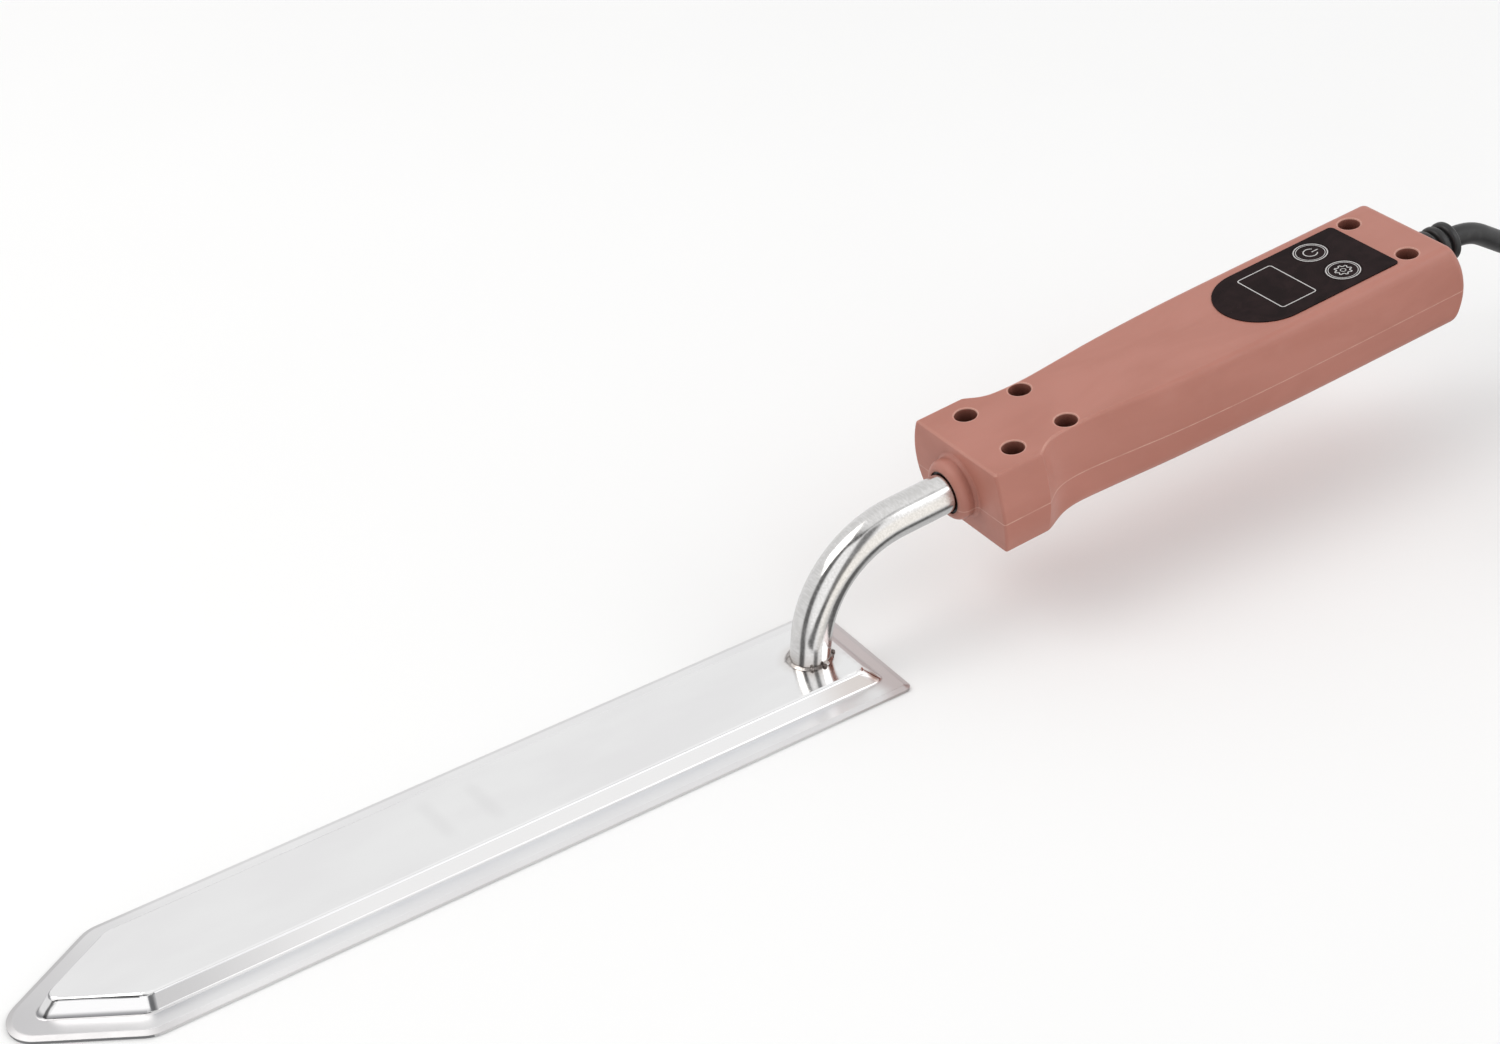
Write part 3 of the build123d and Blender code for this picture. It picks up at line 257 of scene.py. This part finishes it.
def tube_steel(graph):
    """Drawn and hand-polished tube, with cross polishing marks and a straw tint near the weld."""
    cross = graph.noise((1.8, 0.25, 1.8), detail=6)
    along = graph.noise((0.05, 1.2, 0.3), detail=3)
    marks = graph.noise((0.12, 0.12, 0.12), detail=4, distortion=0.5)
    colour = graph.colour_mix(graph.between(cross, 0.35, 0.7),
                              rgb(0.69, 0.68, 0.67), rgb(0.78, 0.77, 0.765))
    height = graph.axis(graph.position(), 2)
    ragged = graph.math("ADD", height, graph.math("MULTIPLY", marks, 5.0))
    heat = graph.between(ragged, 8.5, 14.0, 0.45, 0.0)
    colour = graph.colour_mix(heat, colour, rgb(0.42, 0.375, 0.345))
    rough = graph.between(marks, 0.35, 0.7, 0.09, 0.17)
    rough = graph.math("ADD", rough, graph.between(cross, 0.3, 0.7, 0.0, 0.05))
    dents = graph.bump(marks, 0.03)
    normal = graph.bump(cross, 0.0022, graph.bump(along, 0.006, dents))
    return {"Base Color": colour, "Metallic": 1.0, "Roughness": rough, "Normal": normal}


def plain_metal(graph, light, dark, grain=(1.2, 1.2, 1.2), low=0.18, high=0.38, depth=0.01):
    """Turned, stamped or plated metal with fine grain and dull patches."""
    grains = graph.noise(grain, detail=5)
    patches = graph.noise((0.25, 0.25, 0.25), detail=3)
    colour = graph.colour_mix(graph.between(patches, 0.35, 0.65), light, dark)
    rough = graph.between(patches, 0.3, 0.7, low, high)
    return {"Base Color": colour, "Metallic": 1.0, "Roughness": rough, "Normal": graph.bump(grains, depth)}


# ---- plastics, rubber and the rest ---------------------------------------------------------
TOP_HEIGHT = 16.4              # the handle's flat top over the shells' joint


def shell_plastic(graph, parting, down):
    """Satin reddish-brown moulding: spark-eroded grain, flow marks, a pale flash line at the parting."""
    grain = graph.noise((5.5, 5.5, 5.5), detail=3, roughness=0.6)
    flow = graph.noise((0.02, 0.05, 0.05), detail=3, distortion=0.8)
    patches = graph.noise((0.11, 0.11, 0.11), detail=4)
    colour = graph.colour_mix(graph.between(flow, 0.3, 0.7),
                              rgb(0.420, 0.166, 0.124), rgb(0.462, 0.190, 0.146))
    dusty = graph.between(patches, 0.5, 0.8, 0.0, 0.12)
    colour = graph.colour_mix(dusty, colour, rgb(0.52, 0.27, 0.22))
    # edges lighter: partly rubbed wear, partly a painted highlight along the rims
    rubbed_edge_and_highlight = graph.math("MULTIPLY", graph.edge_mask(0.5), graph.between(patches, 0.3, 0.6, 0.25, 0.5))
    colour = graph.colour_mix(rubbed_edge_and_highlight, colour, rgb(0.62, 0.33, 0.26))
    # height over the parting line, along the handle's own upright axis
    height = graph.math("SUBTRACT", graph.dot(graph.position(), tuple(-down)), parting)
    nearness = graph.between(graph.math("ABSOLUTE", height), 0.10, 0.26, 1.0, 0.0)
    worn = graph.between(graph.noise((0.25, 0.25, 0.25), detail=3), 0.30, 0.62, 0.25, 1.0)
    flash = graph.math("MULTIPLY", nearness, worn)
    colour = graph.colour_mix(graph.math("MULTIPLY", flash, 0.6), colour, rgb(0.66, 0.40, 0.32))
    # painted pale highlight rings at the mouths of the screw wells, and painted dark shade inside the wells and
    # other deep corners
    # painted shade: dark brown wherever ambient occlusion finds a hole or deep corner
    free_of_painted_shade = graph.between(graph.openness(7.0), 0.30, 0.80)
    colour = graph.colour_mix(free_of_painted_shade, rgb(0.050, 0.012, 0.007), colour)
    # painted highlight: a pale ring where the top face meets the well mouths
    near_top = graph.between(height, TOP_HEIGHT - 0.6, TOP_HEIGHT - 0.4)
    painted_mouth_highlight = graph.math("MULTIPLY", graph.edge_mask(0.7, 0.004, 0.035), near_top)
    colour = graph.colour_mix(graph.math("MULTIPLY", painted_mouth_highlight, 0.85), colour, rgb(0.72, 0.42, 0.34))
    rough = graph.between(patches, 0.3, 0.75, 0.36, 0.47)
    soft = graph.bump(graph.noise((0.05, 0.08, 0.08), detail=2), 0.05)
    normal = graph.bump(grain, 0.0055, graph.bump(flash, 0.03, soft))
    return {"Base Color": colour, "Roughness": rough, "Normal": normal,
            "Specular IOR Level": graph.math("MULTIPLY", free_of_painted_shade, 0.4), "Subsurface Weight": 0.06,
            "Subsurface Radius": (1.0, 0.35, 0.25), "Subsurface Scale": 1.5 * MM}


def moulding(graph, colour, worn, low=0.32, high=0.5, depth=0.006, grain=4.0):
    """Moulded or cast piece: fine grain, uneven gloss and slightly faded patches."""
    grains = graph.noise((grain, grain, grain), detail=3)
    patches = graph.noise((0.2, 0.2, 0.2), detail=4)
    mixed = graph.colour_mix(graph.between(patches, 0.35, 0.75, 0.0, 0.6), colour, worn)
    rough = graph.between(patches, 0.3, 0.7, low, high)
    return {"Base Color": mixed, "Roughness": rough, "Normal": graph.bump(grains, depth)}


def rubber(graph):
    """Black rubber with a soft sheen, faint scuffs and a drawn surface."""
    grain = graph.noise((3.0, 3.0, 3.0), detail=3)
    scuffs = graph.noise((0.16, 0.16, 0.16), detail=6, distortion=0.7)
    colour = graph.colour_mix(graph.between(scuffs, 0.5, 0.8),
                              rgb(0.010, 0.010, 0.011), rgb(0.032, 0.032, 0.033))
    rough = graph.between(scuffs, 0.3, 0.75, 0.38, 0.56)
    return {"Base Color": colour, "Roughness": rough, "Normal": graph.bump(grain, 0.012),
            "Sheen Weight": 0.15, "Sheen Roughness": 0.4}


def printed_film(graph):
    """Glossy dark film with a brown tint, finger haze and dust."""
    haze = graph.noise((0.12, 0.12, 0.12), detail=4, distortion=0.8)
    dust = graph.noise((2.6, 2.6, 2.6), detail=2)
    specks = graph.between(dust, 0.72, 0.80, 0.0, 0.35)
    colour = graph.colour_mix(graph.between(haze, 0.35, 0.7),
                              rgb(0.009, 0.0035, 0.0038), rgb(0.018, 0.0080, 0.0085))
    colour = graph.colour_mix(specks, colour, rgb(0.20, 0.17, 0.17))
    rough = graph.between(haze, 0.35, 0.72, 0.07, 0.20)
    normal = graph.bump(graph.noise((0.08, 0.10, 0.10), detail=2), 0.012)
    return {"Base Color": colour, "Roughness": rough, "Normal": normal, "Specular IOR Level": 0.05}


def ink(graph):
    """White screen-print ink, slightly uneven."""
    grain = graph.noise((6.0, 6.0, 6.0), detail=3)
    colour = graph.colour_mix(grain, rgb(0.40, 0.39, 0.385), rgb(0.72, 0.70, 0.69))
    return {"Base Color": colour, "Roughness": graph.between(grain, 0.3, 0.7, 0.35, 0.5),
            "Normal": graph.bump(grain, 0.004)}


def clear(graph, tint, alpha):
    """Clear or smoked moulding with faint haze."""
    haze = graph.noise((0.3, 0.3, 0.3), detail=4)
    return {"Base Color": tint, "Roughness": graph.between(haze, 0.3, 0.7, 0.04, 0.14),
            "Transmission Weight": alpha, "IOR": 1.49, "Normal": graph.bump(haze, 0.004)}


def mica(graph):
    """Pressed mica board with glittering flakes."""
    cells = graph.node("TexVoronoi", feature="F1")
    graph.feed(cells.inputs["Vector"], graph.stretched((0.9, 0.9, 3.0)))
    graph.feed(cells.inputs["Scale"], 1.0)
    flake = graph.axis(cells.outputs["Color"], 0)
    colour = graph.colour_mix(flake, rgb(0.42, 0.34, 0.20), rgb(0.72, 0.64, 0.48))
    return {"Base Color": colour, "Roughness": graph.between(flake, 0.0, 1.0, 0.22, 0.6),
            "Metallic": graph.between(flake, 0.8, 1.0, 0.0, 0.5), "Normal": graph.bump(flake, 0.02)}


def fibre(graph):
    """Ceramic-fibre felt."""
    strands = graph.noise((1.4, 4.0, 4.0), detail=6, roughness=0.7, distortion=1.6)
    colour = graph.colour_mix(strands, rgb(0.70, 0.68, 0.62), rgb(0.93, 0.92, 0.88))
    return {"Base Color": colour, "Roughness": 0.95, "Normal": graph.bump(strands, 0.12),
            "Sheen Weight": 0.4}


# ---- what each material slot of the record looks like ---------------------------------------
def handle_down():
    """The way the keys travel, which is square to the handle's top."""
    return Vector(frame["joints"][0]["axis"]).normalized()


def parting_height():
    """Height of the shells' joint along the handle's upright axis, in millimetres."""
    down = handle_down()
    lower = [-down.dot(v.co) for v in NODES["upper_shell"].data.vertices]
    return min(lower) / MM


def make_materials():
    grey = rgb(0.62, 0.62, 0.61)
    light_grey = rgb(0.78, 0.78, 0.77)
    return {
        "blade_steel": shaded("blade_steel", sheet_steel),
        "tube_steel": shaded("tube_steel", tube_steel),
        "weld": shaded("weld", plain_metal, light=rgb(0.58, 0.55, 0.53), dark=rgb(0.14, 0.115, 0.105),
                       low=0.16, high=0.35, depth=0.05),
        "mica": shaded("mica", mica),
        "nichrome": shaded("nichrome", plain_metal, light=rgb(0.42, 0.40, 0.39),
                           dark=rgb(0.22, 0.20, 0.22), grain=(0.1, 3.0, 3.0)),
        "fibre": shaded("fibre", fibre),
        "brass": shaded("brass", plain_metal, light=rgb(0.80, 0.60, 0.28), dark=rgb(0.62, 0.43, 0.18)),
        "sensor_steel": shaded("sensor_steel", plain_metal, light=light_grey, dark=grey),
        "sleeve_white": shaded("sleeve_white", moulding, colour=rgb(0.78, 0.76, 0.70),
                               worn=rgb(0.66, 0.60, 0.48), low=0.6, high=0.85, depth=0.05),
        "sleeve_red": shaded("sleeve_red", moulding, colour=rgb(0.45, 0.03, 0.025),
                             worn=rgb(0.55, 0.08, 0.06)),
        "shell_plastic": shaded("shell_plastic", shell_plastic, parting=parting_height(),
                                down=handle_down()),
        "zinc_screw": shaded("zinc_screw", plain_metal, light=light_grey, dark=rgb(0.52, 0.52, 0.50)),
        "saddle_steel": shaded("saddle_steel", plain_metal, light=light_grey, dark=grey,
                               grain=(0.2, 2.5, 2.5)),
        "silicone": shaded("silicone", rubber),
        "board_green": shaded("board_green", moulding, colour=rgb(0.012, 0.12, 0.035),
                              worn=rgb(0.02, 0.17, 0.05), low=0.18, high=0.3),
        "display_grey": shaded("display_grey", moulding, colour=rgb(0.02, 0.02, 0.021),
                               worn=rgb(0.05, 0.05, 0.05)),
        "smoked_window": shaded("smoked_window", clear, tint=rgb(0.10, 0.05, 0.05), alpha=0.8),
        "switch_black": shaded("switch_black", moulding, colour=rgb(0.015, 0.015, 0.015),
                               worn=rgb(0.04, 0.04, 0.04)),
        "switch_cap": shaded("switch_cap", moulding, colour=rgb(0.03, 0.028, 0.028),
                             worn=rgb(0.06, 0.06, 0.06)),
        "panel_black": shaded("panel_black", printed_film),
        "terminal_green": shaded("terminal_green", moulding, colour=rgb(0.03, 0.23, 0.07),
                                 worn=rgb(0.05, 0.30, 0.10)),
        "chip_black": shaded("chip_black", moulding, colour=rgb(0.012, 0.012, 0.013),
                             worn=rgb(0.03, 0.03, 0.03), grain=8.0),
        "capacitor_yellow": shaded("capacitor_yellow", moulding, colour=rgb(0.70, 0.45, 0.03),
                                   worn=rgb(0.62, 0.38, 0.03), low=0.15, high=0.3),
        "capacitor_sleeve": shaded("capacitor_sleeve", moulding, colour=rgb(0.010, 0.014, 0.05),
                                   worn=rgb(0.02, 0.03, 0.08), low=0.15, high=0.3),
        "fuse_glass": shaded("fuse_glass", clear, tint=rgb(0.90, 0.96, 0.95), alpha=0.95),
        "clamp_plastic": shaded("clamp_plastic", moulding, colour=rgb(0.02, 0.02, 0.02),
                                worn=rgb(0.05, 0.05, 0.05)),
        "relief_rubber": shaded("relief_rubber", rubber),
        "cord_rubber": shaded("cord_rubber", rubber),
        "core_insulation": shaded("core_insulation", moulding, colour=rgb(0.20, 0.07, 0.02),
                                  worn=rgb(0.30, 0.12, 0.04)),
        "plug_rubber": shaded("plug_rubber", rubber),
        "plug_metal": shaded("plug_metal", plain_metal, light=rgb(0.86, 0.85, 0.82),
                             dark=rgb(0.74, 0.73, 0.70), grain=(0.3, 3.0, 3.0), low=0.10, high=0.22,
                             depth=0.003),
    }


def dress_nodes(materials):
    """Gives every CAD node the look of its record slot."""
    for part in frame["record"]["subparts"]:
        mesh = NODES[part["node"]].data
        mesh.materials.clear()
        mesh.materials.append(materials[part["material_slot"]])


# ---- printed marks on the control label -----------------------------------------------------
THIN_LINE, BOLD_LINE = 0.22, 0.36
RING_RADII = (5.25, 4.55)      # bold outer and thin inner ring of a key
DISPLAY_OUTLINE = (6.7, 10.7, 0.9)  # half-sizes and corner radius
INK_RISE = 0.03
INK_SINK = 0.01
LABEL_THICK = 0.3


def panel_frame(centre):
    """Matrix that takes millimetres on the label's top, about a point, to the part's frame."""
    up = -handle_down()
    across = Vector((0, 1, 0))
    along = across.cross(up)
    turn = Matrix((along, across, up)).transposed().to_4x4()
    return Matrix.Translation(centre) @ turn @ Matrix.Scale(MM, 4)


def node_centre(name):
    low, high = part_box(name)
    return (low + high) / 2


def key_top(name):
    return node_centre(name) - handle_down() * (LABEL_THICK / 2) * MM


def display_centre():
    """Middle of the display, brought up to the label's top face."""
    up = -handle_down()
    centre = node_centre("display_window")
    rise = up.dot(key_top("set_key") - centre)
    return centre + up * rise


def ring(radius, turns=1.0, start=0.0, steps=64):
    count = max(8, int(steps * turns))
    angles = [start + 2 * math.pi * turns * i / count for i in range(count + (turns < 1))]
    return [Vector((radius * math.cos(a), radius * math.sin(a))) for a in angles]


def rounded_rectangle(half_x, half_y, radius, steps=6):
    points = []
    for quarter, (sx, sy) in enumerate(((1, 1), (-1, 1), (-1, -1), (1, -1))):
        for i in range(steps + 1):
            angle = math.pi / 2 * (quarter + i / steps)
            centre = Vector((sx * (half_x - radius), sy * (half_y - radius)))
            points.append(centre + radius * Vector((math.cos(angle), math.sin(angle))))
    return points


def gear(radius, tooth, teeth=8):
    """Outline of a small cog, as a closed line."""
    points = []
    for i in range(teeth):
        for share, reach in ((0.10, radius), (0.30, radius),
                             (0.60, radius + tooth), (0.80, radius + tooth)):
            angle = 2 * math.pi * (i + share) / teeth
            points.append(reach * Vector((math.cos(angle), math.sin(angle))))
    return points


def stroke(bm, points, closed, width):
    """Adds a flat line of ink along the points, as a closed thin solid."""
    count = len(points)
    rows = []
    for i, point in enumerate(points):
        before = points[i - 1] if closed or i > 0 else point
        after = points[(i + 1) % count] if closed or i < count - 1 else point
        side = Vector((-(after - before).y, (after - before).x)).normalized() * width / 2
        corners = [point + side, point - side]
        rows.append([bm.verts.new((c.x, c.y, z)) for z in (-INK_SINK, INK_RISE) for c in corners])
    spans = range(count if closed else count - 1)
    for i in spans:
        a, b = rows[i], rows[(i + 1) % count]
        for first, second in ((2, 3), (3, 1), (1, 0), (0, 2)):
            bm.faces.new((a[first], b[first], b[second], a[second]))
    if not closed:
        for row in (rows[0], rows[-1]):
            bm.faces.new((row[0], row[1], row[3], row[2]))


def print_marks(name, centre, strokes, body, material):
    bm = bmesh.new()
    for points, closed, width in strokes:
        stroke(bm, points, closed, width)
    bmesh.ops.recalc_face_normals(bm, faces=bm.faces)
    mesh = bpy.data.meshes.new(name)
    bm.to_mesh(mesh)
    bm.free()
    mesh.transform(panel_frame(centre))
    mesh.materials.append(material)
    piece = bpy.data.objects.new(name, mesh)
    bpy.context.scene.collection.objects.link(piece)
    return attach(piece, body)


def make_label_print():
    white = shaded("white_ink", ink)
    bold, thin = RING_RADII
    rings = [(ring(bold), True, BOLD_LINE), (ring(thin), True, THIN_LINE)]
    stem = [Vector((0.5, 0)), Vector((3.0, 0))]
    power = [(ring(2.2, turns=0.80, start=math.radians(36)), False, BOLD_LINE), (stem, False, BOLD_LINE)]
    cog = [(gear(2.0, 0.75), True, BOLD_LINE), (ring(0.85), True, THIN_LINE)]
    frame_line = [(rounded_rectangle(*DISPLAY_OUTLINE), True, BOLD_LINE)]
    print_marks("power_key_print", key_top("power_key"), rings + power, "power_button", white)
    print_marks("set_key_print", key_top("set_key"), rings + cog, "set_button", white)
    print_marks("display_outline", display_centre(), frame_line, "root", white)


# ---- floor, light and camera -----------------------------------------------------------------
FLOOR_HALF = 25.0
FLOOR_DROP = 0.0002            # keeps the floor clear of the blade's flat underside


def make_floor():
    mesh = bpy.data.meshes.new("studio_floor")
    corners = [(-1, -1), (1, -1), (1, 1), (-1, 1)]
    mesh.from_pydata([(x * FLOOR_HALF, y * FLOOR_HALF, -FLOOR_DROP) for x, y in corners], [], [(0, 1, 2, 3)])

    def paper(graph):
        tone = graph.noise((0.004, 0.004, 0.004), detail=2)
        colour = graph.colour_mix(tone, rgb(0.90, 0.90, 0.90), rgb(0.93, 0.93, 0.93))
        return {"Base Color": colour, "Roughness": 0.75, "Specular IOR Level": 0.2}

    mesh.materials.append(shaded("studio_paper", paper))
    floor = bpy.data.objects.new("studio_floor", mesh)
    floor.visible_glossy = False
    bpy.context.scene.collection.objects.link(floor)


CAMERA_PLACE = Vector((-0.320285, -0.566688, 0.481108))
CAMERA_FORWARD = Vector((0.39780, 0.73632, -0.54735)).normalized()
CAMERA_ROLL = math.radians(6.228)
CAMERA_LENS = 65.92
CAMERA_SENSOR = 36.0


def make_camera():
    data = bpy.data.cameras.new("camera")
    data.lens = CAMERA_LENS
    data.sensor_width = CAMERA_SENSOR
    data.sensor_fit = "HORIZONTAL"
    data.clip_start = 0.01
    level = CAMERA_FORWARD.cross(Vector((0, 0, 1))).normalized()
    lower = CAMERA_FORWARD.cross(level)
    right = math.cos(CAMERA_ROLL) * level + math.sin(CAMERA_ROLL) * lower
    up = right.cross(CAMERA_FORWARD)
    camera = bpy.data.objects.new("camera", data)
    turn = Matrix((right, up, -CAMERA_FORWARD)).transposed().to_4x4()
    camera.matrix_world = Matrix.Translation(CAMERA_PLACE) @ turn
    bpy.context.scene.collection.objects.link(camera)
    bpy.context.scene.camera = camera


def direction(azimuth, elevation):
    """Unit vector; azimuth runs from +X towards +Y, in degrees."""
    a, e = math.radians(azimuth), math.radians(elevation)
    return Vector((math.cos(a) * math.cos(e), math.sin(a) * math.cos(e), math.sin(e)))


FAR_SKY, NEAR_SKY, ZENITH, GROUND = 0.86, 1.15, 0.95, 0.62
SLOT_DARK = 0.13
# azimuth and elevation of a slot's lower and upper end, its inner and outer half-width, strength
SLOTS = [
    ((-172.0, -12.0), (-171.0, 66.0), 6.0, 20.0, 0.85),
    ((-103.0, -8.0), (-95.0, 50.0), 4.0, 16.0, 0.80),
    ((-140.0, -26.0), (-104.0, -9.0), 4.0, 14.0, 0.95),
    ((-50.0, -42.0), (-8.0, -44.0), 3.0, 13.0, 0.80),
    ((-178.0, 58.0), (-118.0, 62.0), 3.0, 11.0, 0.90),
    ((-110.0, 62.0), (-40.0, 57.0), 2.0, 9.0, 0.50),
]


def make_slot(graph, ray, slot):
    """1 inside a soft-edged dark slot of the studio, drawn between two directions."""
    low, high, inner, outer, strength = slot
    start, end = direction(*low), direction(*high)
    square = start.cross(end).normalized()
    middle = (start + end).normalized()
    reach = math.acos(start.dot(middle))
    off = graph.math("ABSOLUTE", graph.dot(ray, tuple(square)))
    body = graph.between(off, math.sin(math.radians(inner)), math.sin(math.radians(outer)), strength, 0.0)
    ends = (math.cos(reach + math.radians(outer)), math.cos(reach))
    return graph.math("MULTIPLY", body, graph.between(graph.dot(ray, tuple(middle)), *ends))


def make_world():
    """White studio, brighter on the camera's side, with dark slots that draw the lines in the steel."""
    world = bpy.data.worlds.new("studio")
    bpy.context.scene.world = world
    world.use_nodes = True
    graph = Graph(world.node_tree)
    ray = graph.node("TexCoord").outputs["Generated"]
    high = graph.axis(ray, 2)
    near = graph.between(graph.dot(ray, tuple(direction(-80, 15))), 0.15, 0.5)
    level = graph.math("ADD", FAR_SKY, graph.math("MULTIPLY", near, NEAR_SKY - FAR_SKY))
    top = graph.between(high, 0.80, 0.97)
    level = graph.math("ADD", level, graph.math("MULTIPLY", top, graph.math("SUBTRACT", ZENITH, level)))
    below = graph.between(high, -0.62, -0.38, 1.0, 0.0)
    level = graph.math("ADD", level, graph.math("MULTIPLY", below, graph.math("SUBTRACT", GROUND, level)))
    dark = None
    for slot in SLOTS:
        shade = make_slot(graph, ray, slot)
        dark = shade if dark is None else graph.math("MAXIMUM", dark, shade)
    level = graph.math("MULTIPLY", level, graph.between(dark, 0.0, 1.0, 1.0, SLOT_DARK))
    warm = graph.between(graph.dot(ray, tuple(direction(-75, -5))), 0.80, 0.97)
    tint = graph.colour_mix(warm, rgb(1.0, 1.0, 1.0), rgb(1.03, 1.0, 0.95))
    background = graph.node("Background")
    graph.feed(background.inputs["Color"], tint)
    graph.feed(background.inputs["Strength"], level)
    output = graph.node("OutputWorld")
    graph.feed(output.inputs["Surface"], background.outputs[0])


def make_softbox(name, place, aim, size, power, tint):
    data = bpy.data.lights.new(name, "AREA")
    data.shape = "RECTANGLE"
    data.size, data.size_y = size
    data.energy = power
    data.color = tint
    light = bpy.data.objects.new(name, data)
    turn = (Vector(aim) - Vector(place)).to_track_quat("-Z", "Y").to_matrix().to_4x4()
    light.matrix_world = Matrix.Translation(place) @ turn
    bpy.context.scene.collection.objects.link(light)


def make_lights():
    make_softbox("key_softbox", (-0.9, 0.5, 1.5), (0.05, 0, 0.03), (1.2, 1.2), 9.0, (1.0, 0.985, 0.96))
    make_softbox("fill_softbox", (1.0, -0.9, 1.1), (0.05, 0, 0.03), (0.9, 0.9), 3.0, (0.96, 0.98, 1.0))


# ---- build -----------------------------------------------------------------------------------
dress_nodes(make_materials())
make_label_print()
make_floor()
make_world()
make_lights()
make_camera()
bpy.context.scene.view_settings.view_transform = "Standard"
